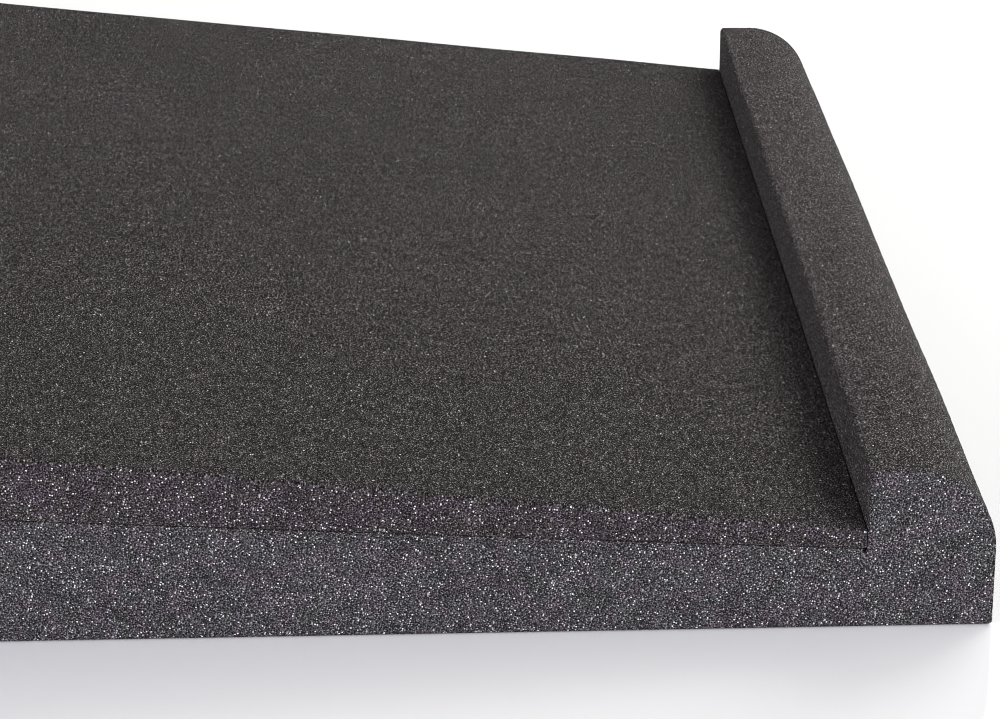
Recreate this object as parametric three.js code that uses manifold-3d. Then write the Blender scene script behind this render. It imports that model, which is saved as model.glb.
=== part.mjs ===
// Speaker isolation pad of open-cell foam, in two loose pieces:
//   base_block    a slab whose top is a gently sloped seat that ends at a raised lip
//   wedge_insert  a wedge that lies on the seat and can be turned end for end to change the tilt
//
// Millimetres, +Z up. +X points to the lip, +Y runs along it. The origin is on the
// surface that the pad stands on, under the middle of its outline.
//
// Both pieces are sawn from sheet foam with a straight wire, so each is one outline in the
// XZ plane carried along Y, with its cut edges slightly eased all round.

import * as THREE from "three";
import { mergeVertices } from "three/addons/utils/BufferGeometryUtils.js";
import Module from "manifold-3d";

// ---- driving dimensions (mm, degrees) -------------------------------------------------

const PAD_LENGTH = 330; // X: tail end to the lip's outer side
const PAD_WIDTH = 266; // Y: the length of the lip
const LIP_HEIGHT = 28; // top of the lip above the floor
const LIP_WIDTH = 21.2; // X: inner wall to outer side
const LIP_ROUND = 14.5; // radius of the lip's outer top edge
const SEAT_HEIGHT = 14.1; // the seat above the floor, where it meets the lip
const SEAT_ANGLE = 3.15; // the seat rises this much towards the tail
const WEDGE_ANGLE = 3.15; // between the wedge's two faces, so that turned round it lies level
const WEDGE_THIN = 3.1; // thickness of the wedge beside the lip
const SEAT_GAP = 0.3; // between the seat and the wedge that lies on it
const LIP_GAP = 0.4; // between the lip's inner wall and the wedge's end
const EDGE_ROUND = 0.65; // radius of the edges that run along Y
const END_ROUND = 0.5; // radius of the edges round both end faces
const KERF_WIDTH = 0.8; // overrun of the saw at the foot of the lip's inner wall
const KERF_DEPTH = 0.9;

const ARC_STEPS = 4; // flats to a quarter turn on a cut edge
const LIP_STEPS = 18; // flats to a quarter turn on the lip's rounded edge
const END_STEPS = 3;

// ---- outline and solid helpers --------------------------------------------------------

const tan = (degrees) => Math.tan(THREE.MathUtils.degToRad(degrees));

// A closed outline through [x, z, radius, steps] corners, each turned with its own radius.
function outline(corners) {
  const points = [];
  const n = corners.length;
  corners.forEach(([x, z, radius = 0, steps = ARC_STEPS], i) => {
    const here = new THREE.Vector2(x, z);
    if (!radius) {
      points.push(here);
      return;
    }
    const [px, pz] = corners[(i + n - 1) % n];
    const [nx, nz] = corners[(i + 1) % n];
    const back = new THREE.Vector2(px - x, pz - z).normalize();
    const on = new THREE.Vector2(nx - x, nz - z).normalize();
    const half = Math.acos(THREE.MathUtils.clamp(back.dot(on), -1, 1)) / 2;
    const inward = back.clone().add(on).normalize();
    const centre = here.clone().addScaledVector(inward, radius / Math.sin(half));
    const run = radius / Math.tan(half);
    const start = here.clone().addScaledVector(back, run).sub(centre);
    const end = here.clone().addScaledVector(on, run).sub(centre);
    let sweep = end.angle() - start.angle();
    if (sweep > Math.PI) sweep -= 2 * Math.PI;
    if (sweep < -Math.PI) sweep += 2 * Math.PI;
    for (let k = 0; k <= steps; k++) {
      const a = start.angle() + (sweep * k) / steps;
      points.push(new THREE.Vector2(centre.x + radius * Math.cos(a), centre.y + radius * Math.sin(a)));
    }
  });
  return new THREE.Shape(points);
}

// Carries an XZ outline along Y, over `width`, with the end edges rounded by `ease`.
function sawn(shape, width, ease) {
  const straight = width - 2 * ease;
  const geometry = new THREE.ExtrudeGeometry(shape, {
    depth: straight,
    steps: 1,
    bevelEnabled: ease > 0,
    bevelThickness: ease,
    bevelSize: ease,
    bevelOffset: -ease,
    bevelSegments: END_STEPS,
  });
  geometry.rotateX(Math.PI / 2);
  geometry.translate(0, straight / 2, 0);
  return geometry;
}

const wasm = await Module();
wasm.setup();

function toSolid(geometry) {
  const bare = geometry.clone();
  bare.deleteAttribute("normal");
  bare.deleteAttribute("uv");
  const merged = mergeVertices(bare, 1e-4);
  return new wasm.Manifold(
    new wasm.Mesh({
      numProp: 3,
      vertProperties: new Float32Array(merged.attributes.position.array),
      triVerts: new Uint32Array(merged.index.array),
    }),
  );
}

function toGeometry(solid) {
  const mesh = solid.getMesh();
  const geometry = new THREE.BufferGeometry();
  geometry.setAttribute("position", new THREE.BufferAttribute(new Float32Array(mesh.vertProperties), 3));
  geometry.setIndex(new THREE.BufferAttribute(new Uint32Array(mesh.triVerts), 1));
  geometry.computeVertexNormals();
  return geometry;
}

// ---- outlines -------------------------------------------------------------------------

const tail = -PAD_LENGTH / 2;
const side = PAD_LENGTH / 2;
const wall = side - LIP_WIDTH; // the lip's inner wall
const seatAt = (x) => SEAT_HEIGHT + (wall - x) * tan(SEAT_ANGLE);

const baseOutline = outline([
  [tail, 0, EDGE_ROUND],
  [side, 0, EDGE_ROUND],
  [side, LIP_HEIGHT, LIP_ROUND, LIP_STEPS],
  [wall, LIP_HEIGHT, EDGE_ROUND],
  [wall, SEAT_HEIGHT],
  [tail, seatAt(tail), EDGE_ROUND],
]);

// The saw runs a little past the corner where the seat meets the lip.
const kerfOutline = new THREE.Shape([
  new THREE.Vector2(wall, SEAT_HEIGHT + 0.4),
  new THREE.Vector2(wall - KERF_WIDTH * 0.85, SEAT_HEIGHT + 0.4),
  new THREE.Vector2(wall - KERF_WIDTH, SEAT_HEIGHT - KERF_DEPTH * 0.8),
  new THREE.Vector2(wall - KERF_WIDTH * 0.55, SEAT_HEIGHT - KERF_DEPTH),
  new THREE.Vector2(wall, SEAT_HEIGHT - KERF_DEPTH * 0.35),
]);

const wedgeEnd = wall - LIP_GAP;
const wedgeUnder = (x) => seatAt(x) + SEAT_GAP;
const wedgeTop = (x) => SEAT_HEIGHT + SEAT_GAP + WEDGE_THIN + (wall - x) * tan(SEAT_ANGLE + WEDGE_ANGLE);

const wedgeOutline = outline([
  [tail, wedgeUnder(tail), EDGE_ROUND],
  [wedgeEnd, wedgeUnder(wedgeEnd), EDGE_ROUND],
  [wedgeEnd, wedgeTop(wedgeEnd), EDGE_ROUND],
  [tail, wedgeTop(tail), EDGE_ROUND],
]);

// ---- pieces ---------------------------------------------------------------------------

const foam = (color) => new THREE.MeshStandardMaterial({ color, roughness: 0.95, metalness: 0 });

const baseSolid = toSolid(sawn(baseOutline, PAD_WIDTH, END_ROUND)).subtract(
  toSolid(sawn(kerfOutline, PAD_WIDTH + 4, 0)),
);
const baseBlock = new THREE.Mesh(toGeometry(baseSolid), foam(0x565357));
baseBlock.name = "base_block";

const wedgeSolid = toSolid(sawn(wedgeOutline, PAD_WIDTH, END_ROUND));
const wedgeInsert = new THREE.Mesh(toGeometry(wedgeSolid), foam(0x484445));
wedgeInsert.name = "wedge_insert";

const pad = new THREE.Group();
pad.name = "isolation_pad";
pad.add(baseBlock, wedgeInsert);

export default pad;
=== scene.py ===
# Looks of a speaker isolation pad: a base block and a loose wedge, both sawn from charcoal open-cell foam.
import math

import bmesh
import bpy
import numpy as np
from mathutils import Matrix, Vector


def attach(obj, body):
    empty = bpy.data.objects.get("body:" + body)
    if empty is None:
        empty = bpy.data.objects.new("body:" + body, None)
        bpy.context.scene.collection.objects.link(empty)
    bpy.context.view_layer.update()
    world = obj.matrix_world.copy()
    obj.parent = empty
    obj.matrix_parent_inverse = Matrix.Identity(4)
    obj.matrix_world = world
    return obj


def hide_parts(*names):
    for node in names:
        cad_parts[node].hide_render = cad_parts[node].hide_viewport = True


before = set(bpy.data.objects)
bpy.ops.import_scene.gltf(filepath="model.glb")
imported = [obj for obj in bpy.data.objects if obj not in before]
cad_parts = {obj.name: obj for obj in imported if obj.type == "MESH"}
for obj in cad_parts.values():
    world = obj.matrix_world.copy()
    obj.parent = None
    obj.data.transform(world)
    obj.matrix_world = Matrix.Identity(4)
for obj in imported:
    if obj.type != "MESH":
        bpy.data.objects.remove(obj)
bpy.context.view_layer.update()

MM = 0.001

# ---- the pad's dimensions, in mm, as in the construction --------------------------------

LENGTH, WIDTH = 330.0, 266.0
LIP_HEIGHT, LIP_WIDTH, LIP_ROUND = 28.0, 21.2, 14.5
SEAT_HEIGHT, SEAT_ANGLE = 14.1, 3.15
WEDGE_ANGLE, WEDGE_THIN = 3.15, 3.1
SEAT_GAP, LIP_GAP = 0.12, 0.13  # soft foam lies closer than the construction's clearance of 0.3 and 0.4
TOP_CLEARANCE = 0.3
EDGE_ROUND, END_ROUND = 0.65, 0.6
KERF_WIDTH, KERF_DEPTH = 0.8, 0.9
STRETCH = 1.4  # the foam's cells are longer along Y, the way it rose

TAIL, SIDE = -LENGTH / 2, LENGTH / 2
WALL = SIDE - LIP_WIDTH


def tan(a):
    return math.tan(math.radians(a))


def seat_at(x):
    return SEAT_HEIGHT + (WALL - x) * tan(SEAT_ANGLE)


def wedge_under(x):
    return seat_at(x) + SEAT_GAP


def wedge_top(x):
    return SEAT_HEIGHT + TOP_CLEARANCE + WEDGE_THIN + (WALL - x) * tan(SEAT_ANGLE + WEDGE_ANGLE)


# ---- camera, at the photograph's viewing angle --------------------------------------------

YAW, PITCH, ROLL = math.radians(-1.2361), math.radians(21.7558), math.radians(-0.4671)
forward = Vector((-math.sin(YAW) * math.cos(PITCH), math.cos(YAW) * math.cos(PITCH), -math.sin(PITCH)))
right = Vector((math.cos(YAW), math.sin(YAW), 0.0))
up = right.cross(forward)
cam_x = math.cos(ROLL) * right + math.sin(ROLL) * up
cam_y = -math.sin(ROLL) * right + math.cos(ROLL) * up
cam_data = bpy.data.cameras.new("camera")
cam = bpy.data.objects.new("camera", cam_data)
bpy.context.scene.collection.objects.link(cam)
cam_data.sensor_width = 36.0
cam_data.lens = 109.92
cam_data.clip_start, cam_data.clip_end = 0.01, 50.0
turn = Matrix((cam_x, cam_y, -forward)).transposed()
cam.matrix_world = Matrix.Translation(Vector((74.45, -581.98, 227.67)) * MM) @ turn.to_4x4()
bpy.context.scene.camera = cam


# ---- meshes -------------------------------------------------------------------------------


def outline(corners):
    """A ring of [x, z] points in mm through (x, z, radius, arc steps, spacing to the next corner)."""
    n = len(corners)
    arcs = []
    for i, (x, z, radius, steps, _) in enumerate(corners):
        here = np.array([x, z], float)
        if not radius:
            arcs.append([here])
            continue
        back = np.array(corners[i - 1][:2], float) - here
        on = np.array(corners[(i + 1) % n][:2], float) - here
        back /= np.linalg.norm(back)
        on /= np.linalg.norm(on)
        half = math.acos(float(np.clip(back @ on, -1, 1))) / 2
        inward = (back + on) / np.linalg.norm(back + on)
        centre = here + inward * radius / math.sin(half)
        run = radius / math.tan(half)
        start, end = here + back * run - centre, here + on * run - centre
        a0, a1 = math.atan2(start[1], start[0]), math.atan2(end[1], end[0])
        sweep = (a1 - a0 + math.pi) % (2 * math.pi) - math.pi
        arcs.append([centre + radius * np.array([math.cos(a0 + sweep * k / steps), math.sin(a0 + sweep * k / steps)]) for k in range(steps + 1)])
    ring = []
    for i, (_, _, _, _, spacing) in enumerate(corners):
        ring += arcs[i]
        a, b = arcs[i][-1], arcs[(i + 1) % n][0]
        span = float(np.linalg.norm(b - a))
        near = 0.25 if span > 2.0 else 0.0  # a row close to each edge keeps the edge crisp
        cuts = max(1, round((span - 2 * near) / spacing))
        stops = [near + (span - 2 * near) * k / cuts for k in range(cuts + 1)] if near else [span * k / cuts for k in range(1, cuts)]
        ring += [a + (b - a) * s / span for s in stops]
    return np.array(ring)


def inset(ring, by):
    """The ring moved inwards by `by`, one number for each point, where inwards is to the left of its direction."""
    before, after = np.roll(ring, 1, 0), np.roll(ring, -1, 0)
    d0, d1 = ring - before, after - ring
    d0 /= np.linalg.norm(d0, axis=1)[:, None]
    d1 /= np.linalg.norm(d1, axis=1)[:, None]
    n0, n1 = np.stack([-d0[:, 1], d0[:, 0]], 1), np.stack([-d1[:, 1], d1[:, 0]], 1)
    m = n0 + n1
    m /= np.maximum((m * n0).sum(1), 0.35)[:, None]
    return ring + m * by[:, None]


def grid_end(ring, pitch):
    """Cuts the ring's flat face into squares of about `pitch` mm. Returns the points, of which the first are the ring's own, the faces as lists of indices, and for each side of the ring the points that fall on it."""
    bm = bmesh.new()
    kept = [bm.verts.new((x, 0, z)) for x, z in ring]
    squares = [bm.faces.new(kept)]
    for axis in (0, 2):
        done, rest = [], squares
        lo = min(v.co[axis] for f in rest for v in f.verts)
        hi = max(v.co[axis] for f in rest for v in f.verts)
        cuts = max(2, round((hi - lo) / pitch))
        for k in range(1, cuts):
            at = lo + (hi - lo) * k / cuts
            cross, beyond = [], []
            for f in rest:
                along = [v.co[axis] for v in f.verts]
                (done if max(along) <= at + 1e-5 else beyond if min(along) >= at - 1e-5 else cross).append(f)
            rest = beyond
            if cross:
                edges = {e for f in cross for e in f.edges}
                verts = {v for f in cross for v in f.verts}
                co, no = Vector((0, 0, 0)), Vector((0, 0, 0))
                co[axis], no[axis] = at, 1.0
                made = bmesh.ops.bisect_plane(bm, geom=[*cross, *edges, *verts], dist=1e-4, plane_co=co, plane_no=no)
                rest = beyond + [g for g in made["geom"] if isinstance(g, bmesh.types.BMFace)]
        squares = done + rest
    own = set(kept)
    others = [v for v in bm.verts if v not in own]
    number = {v: i for i, v in enumerate([*kept, *others])}
    points = np.array([[v.co.x, v.co.z] for v in [*kept, *others]])
    faces = [[number[v] for v in f.verts] for f in bm.faces]
    extra = []
    for k, start in enumerate(kept):
        goal, found, at, last = kept[(k + 1) % len(kept)], [], start, None
        # the way along the border from one ring point to the next
        for first in [e for e in start.link_edges if e.is_boundary]:
            way, at, edge = [], first.other_vert(start), first
            while at not in own:
                way.append(number[at])
                edge = next(e for e in at.link_edges if e.is_boundary and e != edge)
                at = edge.other_vert(at)
            if at is goal:
                found = way
                break
        extra.append(found)
    bm.free()
    return points, faces, extra


def sawn(name, ring, pitch_y, pitch_end, ease):
    """A closed mesh: the ring carried along Y, its end edges rounded by `ease` at each point, and its ends cut into a grid."""
    half = WIDTH / 2
    n = len(ring)
    inner = half - 0.75
    cuts = round(2 * inner / pitch_y)
    turns = (0.39, 0.79, 1.18, math.pi / 2)
    rows = [(half - ease * (1 - math.cos(t)), ease * (1 - math.sin(t))) for t in turns]
    rows += [(np.full(n, inner - 2 * inner * k / cuts), 0 * ease) for k in range(cuts + 1)]
    rows += [(-y, by) for y, by in reversed(rows[:4])]
    # how far round the edge each row lies, and the end itself
    v_turns = [half - ease + ease * (math.pi / 2 - t) for t in turns]
    v_rows = [*v_turns, *[y for y, _ in rows[4:-4]], *[-v for v in reversed(v_turns)]]
    v_rows = [v / STRETCH for v in v_rows]
    v_end = (half - ease + ease * math.pi / 2) / STRETCH
    points, end_faces, extra = grid_end(inset(ring, ease), pitch_end)
    m = len(points)
    verts = [(x, half, z) for x, z in points]
    for y, by in rows:
        verts += [(p[0], v, p[1]) for p, v in zip(inset(ring, by), y)]
    last = m + n * (len(rows) - 1)
    far = m + n * len(rows)
    verts += [(x, -half, z) for x, z in points]
    # the grain's coordinates, in mm: along the outline and along Y on the sawn strip, X and Z on the ends
    along = np.concatenate([[0.0], np.cumsum(np.linalg.norm(np.roll(ring, -1, 0) - ring, axis=1))])
    faces, grain = [], []
    for f in end_faces:
        faces += [list(reversed(f)), [far + i for i in f]]
        grain += [[(points[i][0] + 700, points[i][1] + 40) for i in reversed(f)], [(points[i][0] + 700, points[i][1] - 40) for i in f]]
    for k in range(n):
        k1 = (k + 1) % n
        corner = [(c, v_end[k]) for c in (along[k], *np.linspace(along[k], along[k + 1], len(extra[k]) + 2)[1:-1], along[k + 1])]
        inside = [(along[k], v_rows[0][k]), (along[k + 1], v_rows[0][k1])]
        faces.append([k, *extra[k], k1, m + k1, m + k])
        grain.append([*corner, *reversed(inside)])
        faces.append([far + k1, *[far + i for i in reversed(extra[k])], far + k, last + k, last + k1])
        grain.append([(c, -v) for c, v in [*reversed(corner), *inside]])
    for j in range(len(rows) - 1):
        a, b = m + n * j, m + n * (j + 1)
        ya, yb = v_rows[j], v_rows[j + 1]
        for k in range(n):
            k1 = (k + 1) % n
            faces.append([a + k, a + k1, b + k1, b + k])
            grain.append([(along[k], ya[k]), (along[k + 1], ya[k1]), (along[k + 1], yb[k1]), (along[k], yb[k])])
    mesh = bpy.data.meshes.new(name)
    mesh.from_pydata((np.array(verts) * MM).tolist(), [], faces)
    mesh.uv_layers.new(name="grain").data.foreach_set("uv", np.array([c for f in grain for c in f]).ravel())
    obj = bpy.data.objects.new(name, mesh)
    bpy.context.scene.collection.objects.link(obj)
    bm = bmesh.new()
    bm.from_mesh(mesh)
    bmesh.ops.recalc_face_normals(bm, faces=bm.faces)
    bm.to_mesh(mesh)
    bm.free()
    return obj


def relief(obj, seed, cell, swell, calm):
    """The sawn foam's uneven surface: cells cut open at random depths, `cell` mm, and a slow swell, `swell` mm. Where `calm` is 0 it stays flat."""
    mesh = obj.data
    co = np.zeros(len(mesh.vertices) * 3)
    mesh.vertices.foreach_get("co", co)
    co = co.reshape(-1, 3) / MM
    normal = np.zeros(len(mesh.vertices) * 3)
    mesh.vertex_normals.foreach_get("vector", normal)
    normal = normal.reshape(-1, 3)
    rng = np.random.default_rng(seed)
    depth = rng.normal(0, cell, len(co)).clip(-2.2 * cell, 2.2 * cell)
    # the rounded edges of the ends stay even
    depth[(np.abs(co[:, 1]) > WIDTH / 2 - 0.8) & (np.abs(normal[:, 1]) < 0.995)] *= 0.2
    for _ in range(7):
        k = rng.normal(0, 1, 3)
        k *= 2 * math.pi / rng.uniform(38, 110) / np.linalg.norm(k)
        depth += swell / 3.2 * np.sin(co @ k + rng.uniform(0, 2 * math.pi))
    co += normal * (depth * calm(co, normal))[:, None]
    mesh.vertices.foreach_set("co", (co * MM).ravel())
    mesh.update()


base_ring = outline([
    (TAIL, 0, EDGE_ROUND, 4, 6.0),
    (SIDE, 0, EDGE_ROUND, 4, 1.0),
    (SIDE, LIP_HEIGHT, LIP_ROUND, 24, 1.0),
    (WALL, LIP_HEIGHT, 1.0, 6, 1.0),
    (WALL, SEAT_HEIGHT - KERF_DEPTH * 0.35, 0, 0, 1.0),
    (WALL - KERF_WIDTH * 0.55, SEAT_HEIGHT - KERF_DEPTH, 0, 0, 1.0),
    (WALL - KERF_WIDTH, SEAT_HEIGHT - KERF_DEPTH * 0.8, 0, 0, 1.0),
    (WALL - KERF_WIDTH * 0.87, seat_at(WALL - KERF_WIDTH * 0.87), 0, 0, 5.0),
    (TAIL, seat_at(TAIL), EDGE_ROUND, 4, 1.2),
])
wedge_end = WALL - LIP_GAP
wedge_ring = outline([
    (TAIL, wedge_under(TAIL), EDGE_ROUND, 4, 5.0),
    (wedge_end, wedge_under(wedge_end), 0.3, 3, 1.0),
    (wedge_end, wedge_top(wedge_end), 0.3, 4, 1.3),
    (TAIL, wedge_top(TAIL), EDGE_ROUND, 4, 1.3),
])

def base_calm(co, normal):
    x, z = co[:, 0], co[:, 2]
    floor_side = np.clip(z / 1.5, 0, 1)  # the face that the pad stands on is flat
    seat = (x < WALL + 0.3) & (z < seat_at(x) + 3.5) & (z > seat_at(x) - 1.2) & (np.abs(normal[:, 1]) < 0.5)
    return floor_side * ~seat


def wedge_calm(co, normal):
    x, z = co[:, 0], co[:, 2]
    return np.clip((z - wedge_under(x) - 0.5) / 1.0, 0, 1) * np.clip((wedge_end - x) / 1.0, 0, 1)


def end_round(ring, tight):
    """The end edges' radius: END_ROUND, and hardly any where the two pieces meet."""
    return np.where(tight, 0.16, END_ROUND)


x, z = base_ring.T
base = sawn("foam_base", base_ring, 1.2, 1.0, end_round(base_ring, (x < WALL + 0.1) & (z > seat_at(x) - 1.5) & (z < seat_at(x) + 3.2) & (x > TAIL + 0.2)))
x, z = wedge_ring.T
wedge = sawn("foam_wedge", wedge_ring, 1.25, 1.1, end_round(wedge_ring, (z < wedge_under(x) + 0.7) | (x > wedge_end - 0.2)))
relief(base, 3, 0.035, 0.10, base_calm)
relief(wedge, 8, 0.035, 0.10, wedge_calm)


# ---- foam ---------------------------------------------------------------------------------


def foam(name, along_tint_and_warm_light, end_tints_and_cool_light, mid):
    """Open-cell foam cut open: dark pores, pale strut ends, and painted glints on some strut ends, where they would
    catch the light.
    """
    mat = bpy.data.materials.new(name)
    mat.use_nodes = True
    t = mat.node_tree
    bsdf = t.nodes["Principled BSDF"]

    def node(kind, **props):
        made = t.nodes.new(kind)
        for k, v in props.items():
            setattr(made, k, v)
        return made

    def calc(op, a, b=None, c=None, clamp=False):
        made = node("ShaderNodeMath", operation=op, use_clamp=clamp)
        for i, v in enumerate((a, b, c)):
            if isinstance(v, (int, float)):
                made.inputs[i].default_value = v
            elif v is not None:
                t.links.new(v, made.inputs[i])
        return made.outputs[0]

    def ramp(value, lo, hi, a=0.0, b=1.0, kind="SMOOTHSTEP"):
        made = node("ShaderNodeMapRange", interpolation_type=kind)
        t.links.new(value, made.inputs["Value"])
        for k, v in (("From Min", lo), ("From Max", hi), ("To Min", a), ("To Max", b)):
            made.inputs[k].default_value = v
        return made.outputs["Result"]

    flat = node("ShaderNodeUVMap", uv_map="grain").outputs[0]
    solid = node("ShaderNodeTexCoord").outputs["Object"]

    def cells(per_mm, shift, longer=1.0, turn=None):
        moved = node("ShaderNodeMapping")
        moved.inputs["Scale"].default_value = (1, 1 / longer, 1)
        moved.inputs["Location"].default_value = (shift, shift * 0.7, 0)
        moved.inputs["Rotation"].default_value = (0, 0, shift if turn is None else turn)
        t.links.new(flat, moved.inputs[0])
        made = node("ShaderNodeTexVoronoi", voronoi_dimensions="2D", feature="F1")
        made.inputs["Scale"].default_value = per_mm
        made.inputs["Randomness"].default_value = 0.9
        t.links.new(moved.outputs[0], made.inputs["Vector"])
        split = node("ShaderNodeSeparateColor")
        t.links.new(made.outputs["Color"], split.inputs[0])
        return made.outputs["Distance"], split.outputs

    def cloud(size_mm, detail):
        made = node("ShaderNodeTexNoise", noise_dimensions="3D")
        made.inputs["Scale"].default_value = 1000 / size_mm
        made.inputs["Detail"].default_value = detail
        t.links.new(solid, made.inputs["Vector"])
        return made.outputs["Fac"]

    # the sheet's own faces look flatter and warmer than the ends, where the saw opened the cells; part of it is painted
    # light: the warm tint along the sheet stands for the warm light from above, and the ends' cool purple tint and
    # extra glints stand for the cool light from the front
    normal = node("ShaderNodeSeparateXYZ")
    t.links.new(node("ShaderNodeTexCoord").outputs["Normal"], normal.inputs[0])
    end = ramp(calc("ABSOLUTE", normal.outputs[1]), 0.75, 0.97)

    strut, strut_is = cells(STRUTS_PER_MM, 11.3)
    pore, pore_is = cells(PORES_PER_MM, 37.9)
    struts = calc("MULTIPLY", ramp(strut, 0.15, 0.42, 1.0, 0.0), ramp(strut_is[0], 0, 1, 0.7, 1.0, "LINEAR"))
    pores = calc("MULTIPLY", ramp(pore, 0.22, 0.63, 1.0, 0.0), ramp(pore_is[0], 0, 1, 0.3, 1.0, "LINEAR"))
    patch = cloud(4.0, 1.0)
    tone = calc("MULTIPLY_ADD", struts, STRUT_GAIN, calc("MULTIPLY", pores, -PORE_GAIN))
    tone = calc("MULTIPLY", tone, ramp(end, 0, 1, ALONG_CONTRAST, 1.0, "LINEAR"))
    tone = calc("ADD", tone, ramp(cloud(3.0, 2.0), 0.25, 0.75, -0.26, 0.26, "LINEAR"))
    # clumps of cells, which still show from further off
    clump_at = node("ShaderNodeMapping")
    clump_at.inputs["Scale"].default_value = (1.0, 1.0 / 2.0, 1)
    t.links.new(flat, clump_at.inputs[0])
    clump = node("ShaderNodeTexNoise", noise_dimensions="2D")
    clump.inputs["Scale"].default_value = 1.25
    clump.inputs["Detail"].default_value = 1.0
    clump.inputs["Roughness"].default_value = 0.6
    t.links.new(clump_at.outputs[0], clump.inputs["Vector"])
    clumps = ramp(clump.outputs["Fac"], 0.2, 0.8, -1.0, 1.0, "LINEAR")
    tone = calc("MULTIPLY_ADD", clumps, ramp(end, 0, 1, CLUMP_ALONG, CLUMP_END, "LINEAR"), tone)
    tone = calc("ADD", tone, ramp(cloud(45.0, 2.0), 0.25, 0.75, -0.07, 0.07, "LINEAR"))
    tone = calc("MULTIPLY", calc("EXPONENT", tone), ramp(end, 0, 1, mid[0], mid[1], "LINEAR"))

    # painted glints: strut ends painted bright where they would catch the light, many on the sawn ends, which face the
    # front lights, few on the faces along the sheet
    share = ramp(end, 0, 1, PAINTED_GLINTS_ALONG, PAINTED_GLINTS_END, "LINEAR")
    over = calc("DIVIDE", calc("SUBTRACT", calc("ADD", strut_is[1], share), 1.0), share, clamp=True)
    painted_glint = calc("MULTIPLY", calc("POWER", over, 2.2), ramp(strut, 0.21, 0.42, 1.0, 0.0))

    ends = node("ShaderNodeMix", data_type="RGBA")
    t.links.new(ramp(patch, 0.35, 0.65), ends.inputs[0])
    ends.inputs[6].default_value = (*end_tints_and_cool_light[0], 1)
    ends.inputs[7].default_value = (*end_tints_and_cool_light[1], 1)
    # wider painted glints: flecks where several struts would catch the light together
    fleck, fleck_is = cells(1.15, 5.7, 1.9, 0.0)
    lit = calc("DIVIDE", calc("SUBTRACT", calc("ADD", fleck_is[1], FLECKS), 1.0), FLECKS, clamp=True)
    painted_flecks = calc("MULTIPLY", calc("POWER", lit, 1.5), ramp(fleck, 0.08, 0.24, PAINTED_FLECK_BRIGHTNESS, 0.0))
    painted_glint = calc("MAXIMUM", painted_glint, painted_flecks)

    hue = node("ShaderNodeMix", data_type="RGBA")
    t.links.new(end, hue.inputs[0])
    hue.inputs[6].default_value = (*along_tint_and_warm_light, 1)
    t.links.new(ends.outputs[2], hue.inputs[7])
    body = node("ShaderNodeVectorMath", operation="SCALE")
    t.links.new(hue.outputs[2], body.inputs[0])
    t.links.new(tone, body.inputs["Scale"])
    # painted glint colours, one warm and one cool, picked for each cell
    glint_colour = node("ShaderNodeMix", data_type="RGBA")
    t.links.new(strut_is[2], glint_colour.inputs[0])
    glint_colour.inputs[6].default_value = (0.95, 0.90, 0.86, 1)
    glint_colour.inputs[7].default_value = (0.88, 0.91, 0.98, 1)
    shown = node("ShaderNodeMix", data_type="RGBA")
    t.links.new(painted_glint, shown.inputs[0])
    t.links.new(body.outputs[0], shown.inputs[6])
    t.links.new(glint_colour.outputs[2], shown.inputs[7])
    t.links.new(shown.outputs[2], bsdf.inputs["Base Color"])

    bump = node("ShaderNodeBump")
    bump.inputs["Strength"].default_value = 0.6
    bump.inputs["Distance"].default_value = 0.0001
    t.links.new(calc("SUBTRACT", struts, pores), bump.inputs["Height"])
    t.links.new(bump.outputs[0], bsdf.inputs["Normal"])
    t.links.new(ramp(painted_glint, 0.0, 0.6, 0.95, 0.5, "LINEAR"), bsdf.inputs["Roughness"])
    bsdf.inputs["Specular IOR Level"].default_value = 0.03
    return mat


STRUTS_PER_MM, PORES_PER_MM = 2.57, 2.84
STRUT_GAIN, PORE_GAIN = 1.64, 2.42
# share of strut ends painted as glints along the sheet and on the ends
PAINTED_GLINTS_ALONG, PAINTED_GLINTS_END = 0.01, 0.15
ALONG_CONTRAST = 1.15
CLUMP_ALONG, CLUMP_END = 0.6, 0.2
# share and brightness of the painted flecks of glinting struts
FLECKS, PAINTED_FLECK_BRIGHTNESS = 0.06, 0.38
# tints for each piece's faces; part of each tint is painted light colour, warm along the sheet and cool purple on the
# ends
LOOK = {
    "base_foam": ((1.10, 1.0, 1.01), ((1.02, 1.0, 1.04), (1.15, 1.0, 1.13)), (0.0515, 0.0555)),
    "wedge_foam": ((1.10, 1.0, 1.00), ((1.13, 1.0, 1.02), (1.18, 1.0, 1.13)), (0.043, 0.0405)),
}

for obj, node, slot in ((base, "base_block", "base_foam"), (wedge, "wedge_insert", "wedge_foam")):
    obj.data.materials.append(foam(slot, *LOOK[slot]))
    obj.data.polygons.foreach_set("use_smooth", [True] * len(obj.data.polygons))
    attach(obj, "root")
    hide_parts(node)
    tris = sum(len(p.vertices) - 2 for p in obj.data.polygons)
    print(obj.name, len(obj.data.vertices), "verts", tris, "triangles")


# ---- floor, light -------------------------------------------------------------------------

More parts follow.
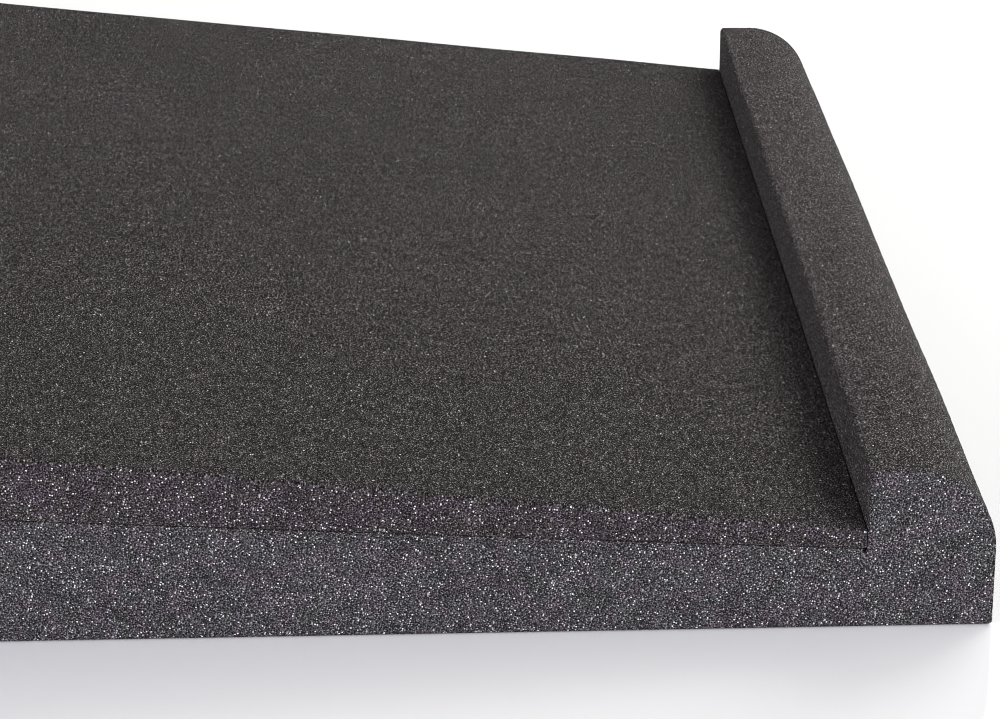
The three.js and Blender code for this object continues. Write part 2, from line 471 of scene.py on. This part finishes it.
bm = bmesh.new()
bmesh.ops.create_grid(bm, x_segments=1, y_segments=1, size=4.0)
floor_mesh = bpy.data.meshes.new("floor")
bm.to_mesh(floor_mesh)
bm.free()
floor = bpy.data.objects.new("floor", floor_mesh)
floor.location.z = -0.0002
bpy.context.scene.collection.objects.link(floor)
white = bpy.data.materials.new("floor")
white.use_nodes = True
p = white.node_tree.nodes["Principled BSDF"]
p.inputs["Base Color"].default_value = (0.81, 0.82, 0.82, 1)
p.inputs["Roughness"].default_value = 0.06
floor_mesh.materials.append(white)

# a white room that the camera and the floor's gloss see, with the softboxes doing the lighting
world = bpy.data.worlds.new("world")
bpy.context.scene.world = world
world.use_nodes = True
wt = world.node_tree
bg = wt.nodes["Background"]
bg.inputs["Color"].default_value = (1, 1, 1, 1)
path = wt.nodes.new("ShaderNodeLightPath")
mix = wt.nodes.new("ShaderNodeMix")
mix.data_type = "FLOAT"
mix.inputs["A"].default_value = 1.5
mix.inputs["B"].default_value = 0.02
wt.links.new(path.outputs["Is Diffuse Ray"], mix.inputs["Factor"])
wt.links.new(mix.outputs["Result"], bg.inputs["Strength"])


def softbox(name, azimuth, height, distance, size, power, colour):
    """An area light that faces the pad from `azimuth` and `height` degrees, where 0 is +X and 90 is +Y."""
    a, e = math.radians(azimuth), math.radians(height)
    at = Vector((math.cos(a) * math.cos(e), math.sin(a) * math.cos(e), math.sin(e))) * distance
    data = bpy.data.lights.new(name, "AREA")
    data.shape = "RECTANGLE"
    data.size = data.size_y = size
    data.energy = power
    data.color = colour
    obj = bpy.data.objects.new(name, data)
    obj.location = at
    obj.rotation_mode = "QUATERNION"
    obj.rotation_quaternion = (-at).to_track_quat("-Z", "Y")
    bpy.context.scene.collection.objects.link(obj)


COOL, PURPLE, WARM = (0.99, 0.99, 1.05), (1.01, 0.97, 1.05), (1.02, 1.0, 0.95)
softbox("front_right", 315, 22, 1.5, 0.9, 14.0, COOL)
softbox("front", 270, 22, 1.5, 0.9, 9.0, COOL)
softbox("front_left", 225, 22, 1.5, 0.9, 12.4, PURPLE)
softbox("left", 180, 22, 1.5, 0.9, 2.2, PURPLE)
softbox("right", 0, 45, 1.5, 0.9, 6.3, WARM)
softbox("back_right", 45, 45, 1.5, 0.9, 3.9, WARM)
softbox("key", 42.5, 36.4, 1.01, 0.5, 4.5, WARM)

bpy.context.scene.view_settings.view_transform = "Standard"
bpy.context.scene.cycles.filter_width = 1.0
